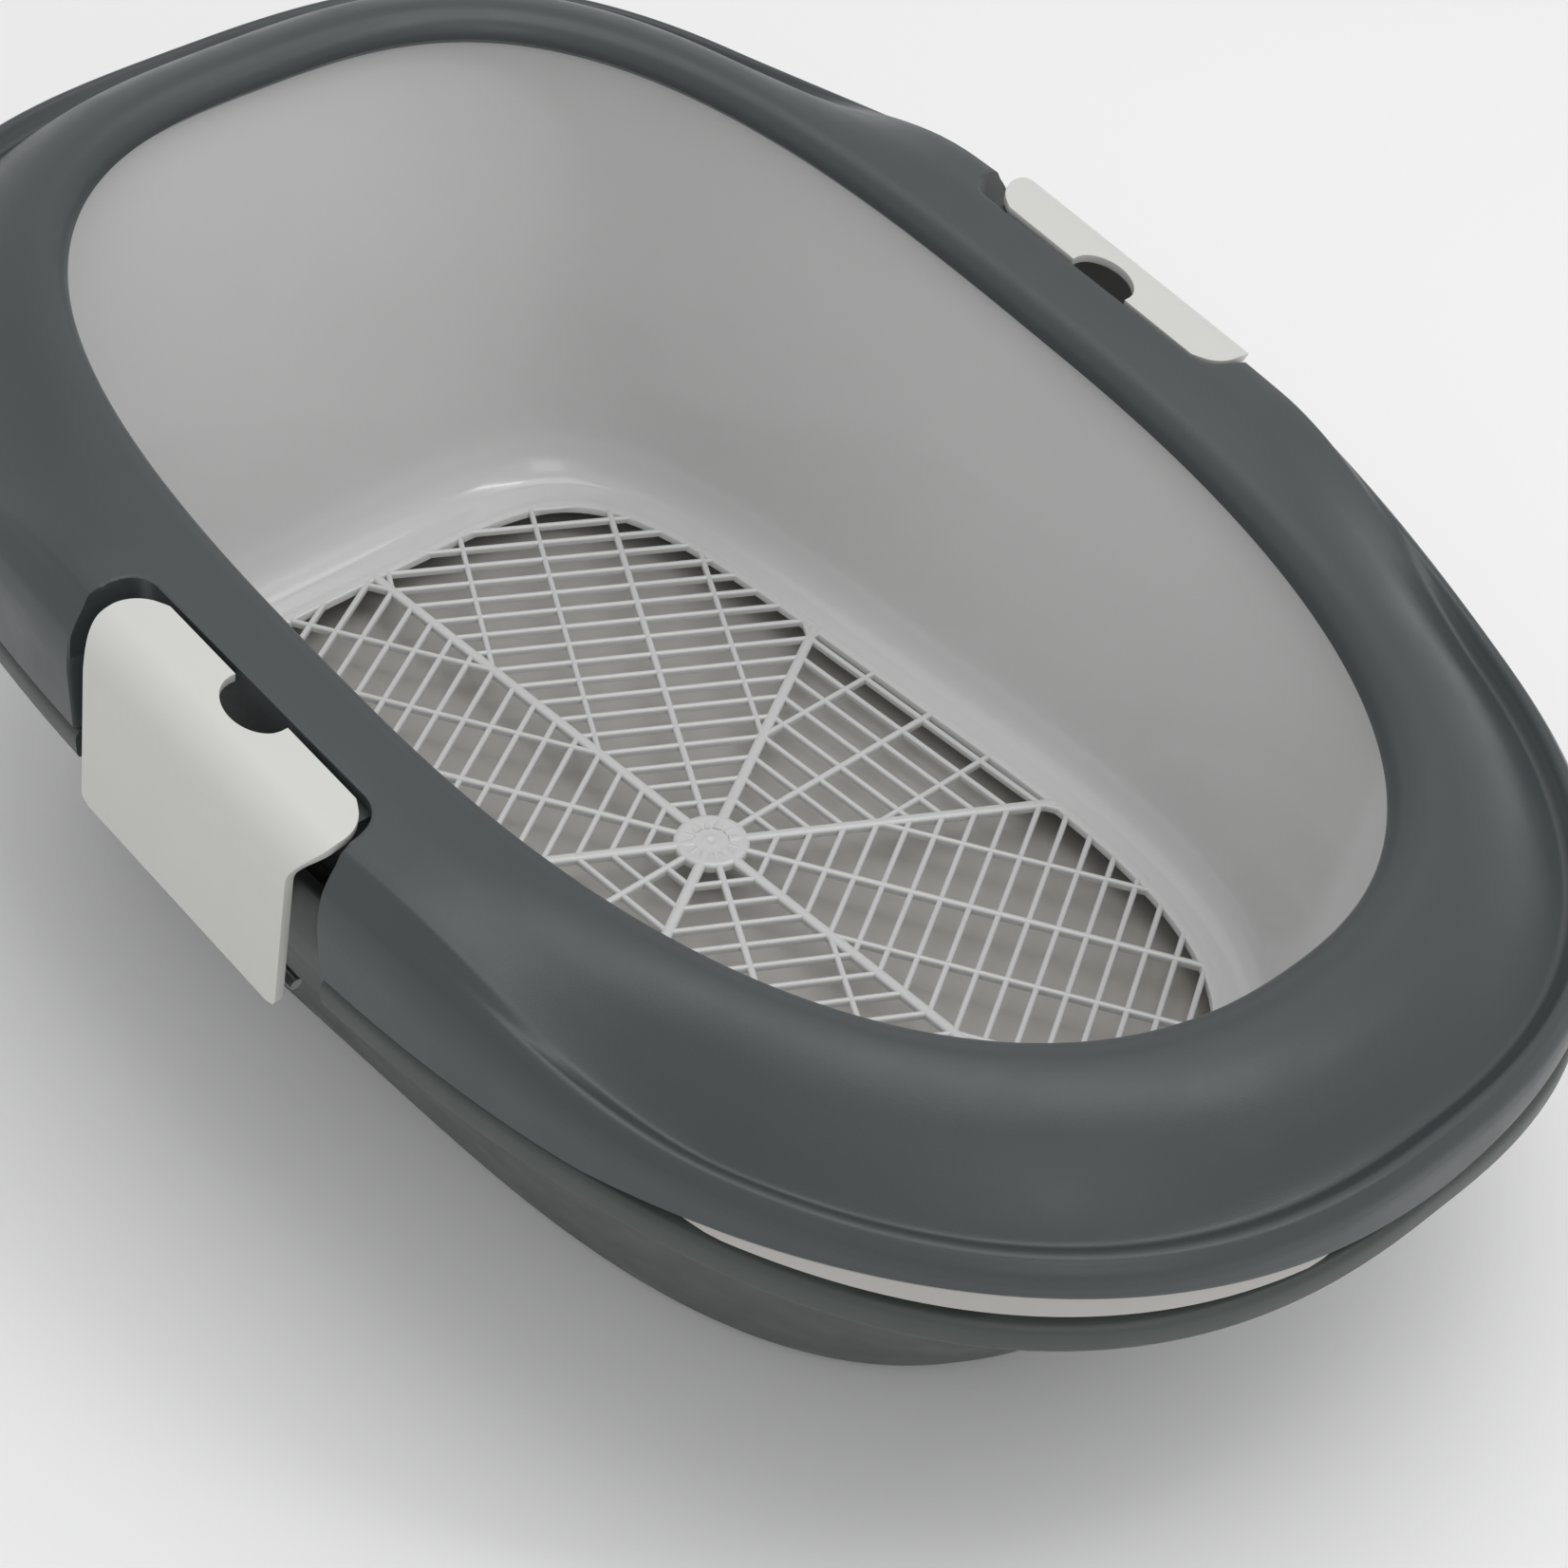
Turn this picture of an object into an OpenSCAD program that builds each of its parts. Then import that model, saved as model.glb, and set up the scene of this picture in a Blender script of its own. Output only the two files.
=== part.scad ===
// Sifting litter tray: a deep base tray, a litter tray and a sieve tray nested in it, a wedge-shaped rim
// over them, and two clips hinged on the base that hook over the rim.
// +X is the low entrance at the front, +Y is the left side, +Z is up. The origin is on the ground,
// under the middle of the rim.

/* [Rim outline] */
// Half length of the rim's outer edge
half_l = 294; // [280:1:310]
// Half width of the rim's outer edge
half_w = 196; // [194:1:200]
// Front half length of the opening
lip_front = 229; // [215:1:235]
// Back half length of the opening
lip_back = 236; // [220:1:240]
// Half width of the opening
lip_w = 143; // [136:1:148]

/* [Sieve floor and foot] */
// Half length of the sieve floor
grid_l = 186; // [176:1:192]
// Half width of the sieve floor
grid_w = 108; // [100:1:112]
// Half length of the base tray's foot
foot_l = 207; // [200:1:214]
// Half width of the base tray's foot
foot_w = 132.5; // [128:0.5:136]

/* [Heights] */
// Height of the sieve floor above the ground
floor_z = 34; // [32:1:40]
// Height of the opening's edge above the sieve floor, at the low front
lip_h = 111; // [100:1:120]
// Height of the seam between base and rim above the sieve floor, at the low front
seam_h = 80; // [74:1:84]
// Rise of the rim for each millimetre towards the back
rise_slope = 0.17; // [0.12:0.01:0.18]
// Share of that rise that the seam has
seam_share = 0.8; // [0.7:0.05:0.9]

/* [Walls] */
// Thickness of the rim and of the base tray
wall = 3; // [2.5:0.5:4]
// Thickness of the litter tray and of the sieve tray
tray_wall = 2.5; // [2:0.5:3]
// Gap between pieces that lie on each other
gap = 0.6; // [0.5:0.1:0.8]
// Greatest height of the light strip that shows under the rim at the front
strip_h = 8; // [4:1:10]

/* [Sieve grid] */
// Spacing of the long ribs
pitch = 28.8; // [26:0.1:30]
// Width of the ribs at the sector boundaries
rib_w = 4; // [3:0.5:5]
// Width of the other bars
bar_w = 2.2; // [1.6:0.1:3]
// Thickness of the grid
grid_t = 3; // [2:0.5:4]
// Radius of the hub disc
hub_r = 13; // [10:1:16]

/* [Clips] */
// Length of a clip along the rim
clip_l = 106; // [90:1:106]
// Thickness of a clip
clip_t = 3.2; // [2.5:0.1:3.5]
// Distance from the middle plane to a clip's hooked edge
clip_tip_y = 171.5; // [171:0.1:173]
// Distance from the middle plane to a clip's outer face
clip_face_y = 198; // [197:0.5:200]
// Radius of a clip's shoulder
clip_r = 15; // [12:0.5:16]
// Height of a clip
clip_h = 71; // [68:1:74]
// Height of the hinge axis below the clip's top
pivot_drop = 64; // [62:1:66]
// Radius of a hinge pin
pin_r = 2; // [1.5:0.1:2.2]

/* [Hidden] */

slate = [0.29, 0.32, 0.33];
light_grey = [0.65, 0.66, 0.66];
cream = [0.80, 0.81, 0.79];
steel = [0.60, 0.60, 0.62];

// An egg outline is [front half length, back half length, half width, front exponent, back exponent].
OUT = [half_l, half_l, half_w, 2.45, 3.0];
LIP = [lip_front, lip_back, lip_w, 2.3, 2.9];
GRID = [grid_l, grid_l, grid_w, 3.2, 5.5];
FOOT = [foot_l, foot_l + 3, foot_w, 2.9, 5.0];
EVEN = [1, 1, 1, 0, 0];

// The stations of a loft run from the front tip to the back tip: [zone, place, in the clip's recess].
// The place is a share of a quarter turn in the end zones (1 and -1) and an x in the side zone (0).
side_x = 84;
end_steps = 13;
step_x = 1;
recess_back = -68;
recess_front = 47;

function blend(a, b, t) = (1 - t) * a + t * b;
function smooth(a, b, v) = let (t = min(1, max(0, (v - a) / (b - a)))) t * t * (3 - 2 * t);

// Rise of the rim at an x on the opening's edge: flat at the front, then a steady slope.
rise_start = 158;
rise_bend = 57.6;
function rise(x) = rise_slope * rise_bend * ln(1 + exp((rise_start - x) / rise_bend));

function half_length(r, x) = x >= 0 ? r[0] : r[1];
function egg_y(r, x) =
    let (a = half_length(r, x), n = x >= 0 ? r[3] : r[4])
    r[2] * pow(max(0, 1 - pow(abs(x) / a, n)), 1 / n);
function station_x(r, s) =
    s[0] == 1 ? side_x + (r[0] - side_x) * sin(90 * s[1]) :
    s[0] == -1 ? -side_x - (r[1] - side_x) * sin(90 * s[1]) : s[1];
// The place on the opening's edge that a point on another outline belongs to.
function lip_x(r, x) = x * half_length(LIP, x) / half_length(r, x);
function lip_z(x) = floor_z + lip_h + rise(x);
function seam_z(x) = floor_z + seam_h + seam_share * rise(x);

function stations(grow) = concat(
    [for (i = [0:end_steps]) [1, 1 - i / end_steps, false]],
    [[0, recess_front + grow + step_x, false]],
    [for (i = [0:6]) [0, blend(recess_front + grow, recess_back - grow, i / 6), true]],
    [[0, recess_back - grow - step_x, false]],
    [for (i = [0:end_steps]) [-1, i / end_steps, false]]);

// Where outline r crosses station s; inside the recess y is held to at most y_max.
function spot(r, s, y_max) =
    let (x = station_x(r, s), y = egg_y(r, x)) [x, s[2] ? min(y, y_max) : y];

// Both halves of a loft from a function that gives a section for the left side.
function both_sides(rows) = concat(
    rows, [for (i = [len(rows) - 2:-1:1]) [for (p = rows[i]) [p[0], -p[1], p[2]]]]);

// Closed ring with the same section count at every station.
module ring_loft(rows) {
    n = len(rows);
    m = len(rows[0]);
    polyhedron(
        [for (row = rows, p = row) p],
        [for (i = [0:n - 1], j = [0:m - 1], half = [0, 1])
            let (k = (i + 1) % n, l = (j + 1) % m)
            half == 0 ? [i * m + j, k * m + l, i * m + l] : [i * m + j, k * m + j, k * m + l]]);
}

// Cup: each section runs from the underside's edge over the top to the inner floor's edge.
module cup_loft(rows) {
    n = len(rows);
    m = len(rows[0]);
    polyhedron(
        [for (row = rows, p = row) p],
        concat(
            [for (i = [0:n - 1], j = [0:m - 2], half = [0, 1])
                let (k = (i + 1) % n)
                half == 0 ? [i * m + j, i * m + j + 1, k * m + j + 1]
                          : [i * m + j, k * m + j + 1, k * m + j]],
            [[for (i = [0:n - 1]) i * m]],
            [[for (i = [n - 1:-1:0]) i * m + m - 1]]));
}

// How far the rim's lower edge is lifted at a station, from 0 to 1: it bows up on each side of the front tip.
strip_start = 0.18;
function bow(s) = s[0] == 1 ? max(0, sin(180 * (s[1] - strip_start) / (1 - strip_start))) : 0;

// ---- Rim ----
// Share of the way from the opening to the outer edge, and height over the opening's edge:
// away from the clips (a band that falls to a bead) and at the clips (a flat land).
RIM_PATH = [
    [0, -1, -1], [0.02, 3, 3], [0.06, 6, 6], [0.12, 8, 8], [0.2, 8.5, 8.8], [0.32, 7, 9.6],
    [0.46, 2.5, 10], [0.6, -4, 9.5], [0.72, -10, 8.8], [0.79, -12.5, 8], [0.84, -13, 7],
    [0.89, -12, 3], [0.93, -12.2, 0], [0.965, -13.8, -5], [0.99, -16.3, -11], [1, -19.5, -16]];
land_near = 60;
land_far = 150;
clip_x = -6.5;
rim_recess_y = 169.5;
rim_foot_gap = 0.4;

function land(x) = 1 - smooth(land_near, land_far, abs(x - clip_x));
function rim_point(k, s, inner) =
    let (
        share = inner ? blend(0.055, 0.945, RIM_PATH[k][0]) : RIM_PATH[k][0],
        r = blend(LIP, OUT, share),
        p = spot(r, s, rim_recess_y - (inner ? wall : 0)),
        x = lip_x(r, p[0]),
        h = blend(RIM_PATH[k][1], RIM_PATH[k][2], land(x)))
    [p[0], p[1], lip_z(x) + h - (inner ? wall : 0)];
function rim_foot(s, inner) =
    let (
        r = blend(LIP, OUT, inner ? 0.945 : 1),
        p = spot(r, s, rim_recess_y - (inner ? wall : 0)))
    [p[0], p[1], seam_z(lip_x(r, p[0])) + rim_foot_gap + strip_h * bow(s)];
function rim_row(s_out, s_in) = concat(
    [for (k = [0:len(RIM_PATH) - 1]) rim_point(k, s_out, false)],
    [rim_foot(s_out, false), rim_foot(s_in, true)],
    [for (k = [len(RIM_PATH) - 1:-1:0]) rim_point(k, s_in, true)]);

// ---- Clip frame ----
// The clips lie along the slope of the rim: this frame's origin is on the land at the clip's middle.
land_rise = 10;
clip_tilt = atan(rise_slope / (1 + exp((clip_x - rise_start) / rise_bend)));
clip_z = lip_z(clip_x) + land_rise;
barrel_r = 4.3;
lug_r = 3.5;
lug_l = 36;
leg_l = clip_l - 10;
pivot_y = clip_face_y - 7;
hinge_play = 0.05;
pin_play = 0.03;

module clip_frame(side) {
    mirror([0, side < 0 ? 1 : 0, 0])
        translate([clip_x, 0, clip_z])
            rotate([0, clip_tilt, 0])
                children();
}

// A cross-section in the clip's frame, extruded along the rim.
module along(l) {
    rotate([90, 0, 90]) linear_extrude(l, center = true) children();
}

module pivot_rod(r, l) {
    translate([0, pivot_y, -pivot_drop]) rotate([0, 90, 0]) cylinder(r = r, h = l, center = true, $fn = 48);
}

// The ledge that a clip hooks over is in two parts, with room for a finger between them.
ledge_t = 2.3;
ledge_start = 17;
ledge_end = 48;
ledge_tip_y = 180;
hook_gap = 0.6;
module rim_ledge() {
    ledge_top = -clip_t - hook_gap;
    for (x = [-ledge_end, ledge_start])
        translate([x, rim_recess_y - 2, ledge_top - ledge_t])
            cube([ledge_end - ledge_start, ledge_tip_y - rim_recess_y + 2, ledge_t]);
}

module rim() {
    outer = stations(0);
    inner = stations(wall);
    color(slate) {
        ring_loft(both_sides([for (i = [0:len(outer) - 1]) rim_row(outer[i], inner[i])]));
        for (side = [1, -1]) clip_frame(side) rim_ledge();
    }
}

// ---- Base tray ----
wall_share = 0.82;
wall_end = 8;
bead_h = 11;
bead_drop = 3;
base_top = 0.8;
base_recess_y = 176;
function base_wall(z, seam) = blend(FOOT, OUT, wall_share * z / (seam - wall_end));
// The seam's height for a station, the same for every outline of one section.
function station_seam(s) = seam_z(lip_x(OUT, station_x(OUT, s)));

function base_point(r, s, z, inner, inboard = 0) =
    let (p = spot(r, s, base_recess_y - (inner ? wall : 0) - inboard)) [p[0], p[1], z];
function base_row(s_out, s_in) =
    let (
        seam = station_seam(s_out),
        bead = seam - base_top - bead_drop * bow(s_out),
        low = bead - bead_h)
    concat(
        [base_point(FOOT - 4 * EVEN, s_out, 0, false)],
        [base_point(FOOT - EVEN, s_out, 1, false)],
        [base_point(FOOT + EVEN, s_out, 4, false)],
        [for (z = [20, 50, 80]) base_point(base_wall(z, seam), s_out, z * low / 100, false)],
        [base_point(base_wall(low, seam), s_out, low, false)],
        [base_point(OUT - 2 * EVEN, s_out, low + 0.5, false)],
        [base_point(OUT, s_out, low + 2.5, false)],
        [base_point(OUT, s_out, bead - 3, false)],
        [base_point(OUT - 1.5 * EVEN, s_out, bead - 0.8, false, 0.3)],
        [base_point(OUT - 4 * EVEN, s_out, bead, false, 0.8)],
        [base_point(base_wall(seam, seam) + EVEN, s_out, seam - base_top, false, 1.4)],
        [base_point(base_wall(seam, seam) - wall * EVEN, s_in, seam - base_top, true)],
        [for (z = [80, 50, 20])
            base_point(base_wall(z, seam) - wall * EVEN, s_in, z * low / 100, true)],
        [base_point(FOOT - 2 * EVEN, s_in, 6, true)],
        [base_point(FOOT - 6 * EVEN, s_in, wall, true)]);

module hinge_lug() {
    difference() {
        union() {
            pivot_rod(lug_r, lug_l);
            translate([-lug_l / 2, base_recess_y - 2, -pivot_drop - lug_r])
                cube([lug_l, pivot_y - base_recess_y + 2, 2 * lug_r]);
        }
        pivot_rod(pin_r + pin_play, lug_l + 2);
    }
}

module base_tray() {
    outer = stations(0);
    inner = stations(wall + 1);
    color(slate) {
        cup_loft(both_sides([for (i = [0:len(outer) - 1]) base_row(outer[i], inner[i])]));
        for (side = [1, -1]) clip_frame(side) hinge_lug();
    }
}

// ---- Litter tray ----
litter_floor = 17;
litter_inset = 6;
litter_recess_y = 166;
flange_in = 0.925;
flange_more = 0.06;
flange_t = 2.5;

function litter_point(r, s, z, inner, inboard = 0) =
    let (p = spot(r, s, litter_recess_y - (inner ? tray_wall : 0) - inboard)) [p[0], p[1], z];
function litter_row(s_out, s_in) =
    let (
        seam = station_seam(s_out),
        low = seam - wall_end,
        low_edge = seam - base_top + gap,
        rest = low_edge + flange_t,
        lift = seam + max(rest - seam, rim_foot_gap - gap + strip_h * bow(s_out)),
        edge = blend(LIP, OUT, flange_in + flange_more * smooth(0.24, 0.5, bow(s_out))))
    concat(
        [litter_point(base_wall(litter_floor, seam) - (litter_inset + 5) * EVEN, s_out, litter_floor, false)],
        [litter_point(base_wall(litter_floor, seam) - litter_inset * EVEN, s_out, litter_floor + 4, false)],
        [for (z = [35, 60, 85])
            litter_point(base_wall(z, seam) - litter_inset * EVEN, s_out, z * low / 100, false, 2)],
        [litter_point(base_wall(seam, seam) - litter_inset * EVEN, s_out, low_edge, false, 2)],
        [litter_point(edge, s_out, low_edge, false)],
        [litter_point(edge, s_out, lift, false)],
        [litter_point(edge - 2 * EVEN, s_out, lift, false, 0.6)],
        [litter_point(edge - 2.5 * EVEN, s_out, rest - 0.1, false, 1.2)],
        [litter_point(base_wall(seam, seam) - (litter_inset + tray_wall) * EVEN, s_in, rest, true, 2)],
        [for (z = [85, 60, 35])
            litter_point(base_wall(z, seam) - (litter_inset + tray_wall) * EVEN, s_in, z * low / 100, true, 2)],
        [litter_point(base_wall(litter_floor, seam) - (litter_inset + tray_wall) * EVEN, s_in,
                      litter_floor + 6, true)],
        [litter_point(base_wall(litter_floor, seam) - (litter_inset + 9) * EVEN, s_in,
                      litter_floor + tray_wall, true)]);

module litter_tray() {
    outer = stations(wall + 2.5);
    inner = stations(wall + 2.5 + tray_wall);
    color(light_grey)
        cup_loft(both_sides([for (i = [0:len(outer) - 1]) litter_row(outer[i], inner[i])]));
}

// ---- Sieve tray ----
// Share of the way from the floor's edge to the opening's edge against share of the height.
SIEVE_WALL = [[0, 0], [0.01, 0.13], [0.035, 0.22], [0.075, 0.29], [0.13, 0.35], [0.3, 0.47], [0.55, 0.65],
              [0.78, 0.83], [1, 1]];
lip_inset = 0.12;
sieve_top = 2.5;
sieve_recess_y = 164;
sieve_flange = 0.87;
sieve_flange_t = 2.3;
low_steps = 6;

function sieve_height(s) = lip_h + sieve_top + rise(station_x(LIP, s));
function sieve_ring(h) = blend(GRID, blend(LIP, OUT, lip_inset), lookup(h, SIEVE_WALL));
function sieve_point(s, h, out) =
    let (r = sieve_ring(h) + (out ? tray_wall : 0) * EVEN, p = spot(r, s, sieve_recess_y))
    [p[0], p[1], floor_z + h * sieve_height(s)];
function sieve_row(s) =
    let (
        seam = station_seam(s),
        rest = seam - base_top + flange_t + 2 * gap,
        top = rest + sieve_flange_t,
        h_top = (top - floor_z) / sieve_height(s),
        h_low = (rest - floor_z) / sieve_height(s),
        edge = spot(blend(LIP, OUT, sieve_flange), s, sieve_recess_y),
        foot_in = spot(GRID - 2 * EVEN, s, sieve_recess_y),
        foot_out = spot(GRID, s, sieve_recess_y))
    concat(
        [[foot_in[0], foot_in[1], floor_z - grid_t]],
        [[foot_in[0], foot_in[1], floor_z]],
        [for (i = [1:len(SIEVE_WALL) - 1]) sieve_point(s, SIEVE_WALL[i][0], false)],
        [sieve_point(s, 1, true)],
        [sieve_point(s, h_top, true)],
        [[edge[0], edge[1], top]],
        [[edge[0], edge[1], rest]],
        [sieve_point(s, h_low, true)],
        [for (i = [low_steps:-1:1]) sieve_point(s, SIEVE_WALL[i][0], true)],
        [[foot_out[0], foot_out[1], floor_z - grid_t]]);

module sieve_tray() {
    color(light_grey) ring_loft(both_sides([for (s = stations(wall + 2)) sieve_row(s)]));
}

// ---- Sieve grid ----
sector = 60;
medial = 30;
bar_pitch = pitch * sqrt(3) / 5;
long_bars = 19;
side_bars = 10;
side_offsets = 2;
end_offsets = 3;
reach = 230;

module egg_area(r) {
    half = [for (i = [0:30]) let (t = 180 * i / 30, x = (t < 90 ? r[0] : r[1]) * cos(t)) [x, egg_y(r, x)]];
    polygon(concat(half, [for (i = [29:-1:1]) [half[i][0], -half[i][1]]]));
}

module bar(from, w) {
    translate([from, -w / 2]) square([reach - from, w]);
}

module web() {
    circle(r = hub_r, $fn = 48);
    for (k = [0:5]) {
        is_side = k == 1 || k == 4;
        rotate(sector * k) bar(0, rib_w);
        rotate(sector * k + medial) {
            bar(0, bar_w);
            for (n = [1:is_side ? side_offsets : end_offsets], side = [1, -1])
                translate([0, side * n * pitch]) bar(n * pitch / tan(medial), bar_w);
            for (n = [2:is_side ? side_bars : long_bars])
                translate([n * bar_pitch - bar_w / 2, -n * bar_pitch * tan(medial)])
                    square([bar_w, 2 * n * bar_pitch * tan(medial)]);
        }
    }
}

module sieve_grid() {
    border = 3;
    color(light_grey)
        translate([0, 0, floor_z - grid_t])
            linear_extrude(grid_t) {
                intersection() {
                    egg_area(GRID - 2 * EVEN);
                    web();
                }
                difference() {
                    egg_area(GRID - 2 * EVEN);
                    egg_area(GRID - (2 + border) * EVEN);
                }
            }
}

// ---- Clips and pins ----
notch_r = 15;
notch_in = 4;
clip_turn = clip_r - clip_t;
module clip() {
    face_in = clip_face_y - clip_t;
    turn_y = clip_face_y - clip_r;
    difference() {
        union() {
            along(clip_l) {
                translate([clip_tip_y, -clip_t]) square([turn_y - clip_tip_y, clip_t]);
                intersection() {
                    difference() {
                        translate([turn_y, -clip_r]) circle(r = clip_r, $fn = 64);
                        translate([turn_y, -clip_r]) circle(r = clip_turn, $fn = 64);
                    }
                    translate([turn_y, -clip_r]) square(clip_r);
                }
            }
            along(leg_l) {
                translate([face_in, -clip_h]) square([clip_t, clip_h - clip_r]);
                translate([pivot_y, -pivot_drop]) circle(r = barrel_r, $fn = 48);
            }
        }
        pivot_rod(pin_r + hinge_play, clip_l);
        translate([-lug_l / 2 - 1, pivot_y - barrel_r - 1, -pivot_drop - barrel_r - 1])
            cube([lug_l + 2, face_in - pivot_y + barrel_r + 1, 2 * barrel_r + 2]);
        translate([0, clip_tip_y - notch_in, -clip_t - 1]) cylinder(r = notch_r, h = clip_t + 2, $fn = 64);
    }
}

module clip_left() {
    color(cream) clip_frame(1) clip();
}

module clip_right() {
    color(cream) clip_frame(-1) clip();
}

module hinge_pin_left() {
    color(steel) clip_frame(1) pivot_rod(pin_r, leg_l);
}

module hinge_pin_right() {
    color(steel) clip_frame(-1) pivot_rod(pin_r, leg_l);
}

base_tray();
litter_tray();
sieve_tray();
sieve_grid();
rim();
clip_left();
clip_right();
hinge_pin_left();
hinge_pin_right();
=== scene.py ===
"""Looks of the sifting litter tray: smooth shells, rounded web bars, moulded clips, plastics and light.

Lengths in this file are millimetres in the row frame; add_mesh() turns them into Blender's metres.
"""
import math

import bmesh
import bpy
from mathutils import Matrix, Vector


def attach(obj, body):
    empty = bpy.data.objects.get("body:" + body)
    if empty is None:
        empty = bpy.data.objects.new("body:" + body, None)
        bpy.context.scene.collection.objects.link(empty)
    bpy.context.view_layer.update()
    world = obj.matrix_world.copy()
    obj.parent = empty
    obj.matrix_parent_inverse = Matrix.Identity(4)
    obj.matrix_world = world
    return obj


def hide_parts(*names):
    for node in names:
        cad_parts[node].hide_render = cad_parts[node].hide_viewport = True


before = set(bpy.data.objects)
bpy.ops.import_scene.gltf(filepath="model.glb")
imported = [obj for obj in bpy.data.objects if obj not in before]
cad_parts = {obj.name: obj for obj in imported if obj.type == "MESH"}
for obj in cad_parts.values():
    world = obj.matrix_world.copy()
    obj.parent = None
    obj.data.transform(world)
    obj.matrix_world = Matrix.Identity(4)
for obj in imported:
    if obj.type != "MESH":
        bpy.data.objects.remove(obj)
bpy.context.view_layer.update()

MM = 0.001

# ---- The outlines and heights that part.scad states ----
# An egg outline is (front half length, back half length, half width, front exponent, back exponent).
OUT = (294.0, 294.0, 196.0, 2.45, 3.0)
LIP = (229.0, 236.0, 143.0, 2.3, 2.9)
GRID = (186.0, 186.0, 108.0, 3.2, 5.5)
FOOT = (207.0, 210.0, 132.5, 2.9, 5.0)
FLOOR_Z = 34.0
LIP_H = 111.0
SEAM_H = 80.0
RISE_SLOPE = 0.17
RISE_START = 158.0
RISE_BEND = 57.6
SEAM_SHARE = 0.8
WALL = 3.0
TRAY_WALL = 2.5
STRIP_H = 8.0
STRIP_START = 0.18

# ---- Clips ----
CLIP_X = -6.5
CLIP_L = 106.0
CLIP_T = 3.2
CLIP_TIP_Y = 171.5
CLIP_FACE_Y = 198.0
CLIP_R = 15.0
CLIP_H = 71.0
PIVOT_DROP = 64.0
PIVOT_Y = CLIP_FACE_Y - 7.0
LAND_RISE = 10.0

# ---- Recesses at the clips: the span along X of the rim's one, and how far in each piece goes ----
RECESS_BACK = -68.0
RECESS_FRONT = 47.0
RIM_RECESS_Y = 169.5
BASE_RECESS_Y = 176.0
LITTER_RECESS_Y = 166.0
SIEVE_RECESS_Y = 164.0
RECESS_EDGE = 2.5


def smooth(a, b, v):
    t = min(1.0, max(0.0, (v - a) / (b - a)))
    return t * t * (3 - 2 * t)


def mix(a, b, t):
    return tuple((1 - t) * p + t * q for p, q in zip(a, b))


def grow(ring, d):
    return (ring[0] + d, ring[1] + d, ring[2] + d, ring[3], ring[4])


def rise(x):
    return RISE_SLOPE * RISE_BEND * math.log(1 + math.exp((RISE_START - x) / RISE_BEND))


def half_length(ring, x):
    return ring[0] if x >= 0 else ring[1]


def egg_y(ring, x):
    n = ring[3] if x >= 0 else ring[4]
    return ring[2] * max(0.0, 1 - (abs(x) / half_length(ring, x)) ** n) ** (1 / n)


def lip_x(ring, x):
    return x * half_length(LIP, x) / half_length(ring, x)


def lip_z(x):
    return FLOOR_Z + LIP_H + rise(x)


def seam_z(x):
    return FLOOR_Z + SEAM_H + SEAM_SHARE * rise(x)


# ---- Stations of a loft: (zone, place); the place is a share of a quarter turn or an x ----
SIDE_X = 84.0
END_STEPS = 60


def side_places():
    """x places of the side zone from front to back, close together at the ends of the recesses."""
    places = set()
    x = SIDE_X - 3.0
    while x > -SIDE_X:
        near_end = min(abs(x - RECESS_FRONT - 3), abs(x - RECESS_BACK + 3)) < 16
        places.add(round(x, 2))
        x -= 0.7 if near_end else 4.0
    return sorted(places, reverse=True)


def stations():
    front = [(1, 1 - i / END_STEPS) for i in range(END_STEPS + 1)]
    side = [(0, x) for x in side_places()]
    back = [(-1, i / END_STEPS) for i in range(END_STEPS + 1)]
    return front + side + back


STATIONS = stations()


def station_x(ring, s):
    if s[0] == 1:
        return SIDE_X + (ring[0] - SIDE_X) * math.sin(math.radians(90 * s[1]))
    if s[0] == -1:
        return -SIDE_X - (ring[1] - SIDE_X) * math.sin(math.radians(90 * s[1]))
    return s[1]


def bow(s):
    """How far the rim's lower edge is lifted at a station, from 0 to 1."""
    if s[0] != 1:
        return 0.0
    return max(0.0, math.sin(math.pi * (s[1] - STRIP_START) / (1 - STRIP_START)))


def soft_min(a, b, k):
    """The lower of a and b, rounded over a width k where they cross."""
    h = max(0.0, k - abs(a - b)) / k
    return min(a, b) - h * h * k / 4


def held_in(y, x, y_max, spread, corner, soft=1.6):
    """y held inside a recess that reaches y_max, with a rounded corner at each end."""
    front, back = RECESS_FRONT + spread, RECESS_BACK - spread
    if x > front + RECESS_EDGE or x < back - RECESS_EDGE:
        return y
    limit = y_max
    for into in (front - x, x - back):
        if into < 0:
            limit = max(limit, y_max + corner + (260 - y_max) * (-into / RECESS_EDGE) ** 2)
        elif into < corner:
            limit = max(limit, y_max + corner - math.sqrt(corner ** 2 - (corner - into) ** 2))
    return soft_min(y, limit, soft)


def spot(ring, s, y_max, spread, corner=10.0):
    x = station_x(ring, s)
    y = egg_y(ring, x)
    return x, (held_in(y, x, y_max, spread, corner) if s[0] == 0 else y)


def spline(points, steps):
    """A smooth line of tuples through the points, with that many steps between each two."""
    out = []
    for i in range(len(points) - 1):
        p0 = points[max(i - 1, 0)]
        p1, p2 = points[i], points[i + 1]
        p3 = points[min(i + 2, len(points) - 1)]
        for k in range(steps):
            t = k / steps
            out.append(tuple(
                0.5 * (2 * b + (c - a) * t + (2 * a - 5 * b + 4 * c - d) * t * t
                       + (3 * b - a - 3 * c + d) * t ** 3)
                for a, b, c, d in zip(p0, p1, p2, p3)))
    out.append(tuple(points[-1]))
    return out


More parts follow.
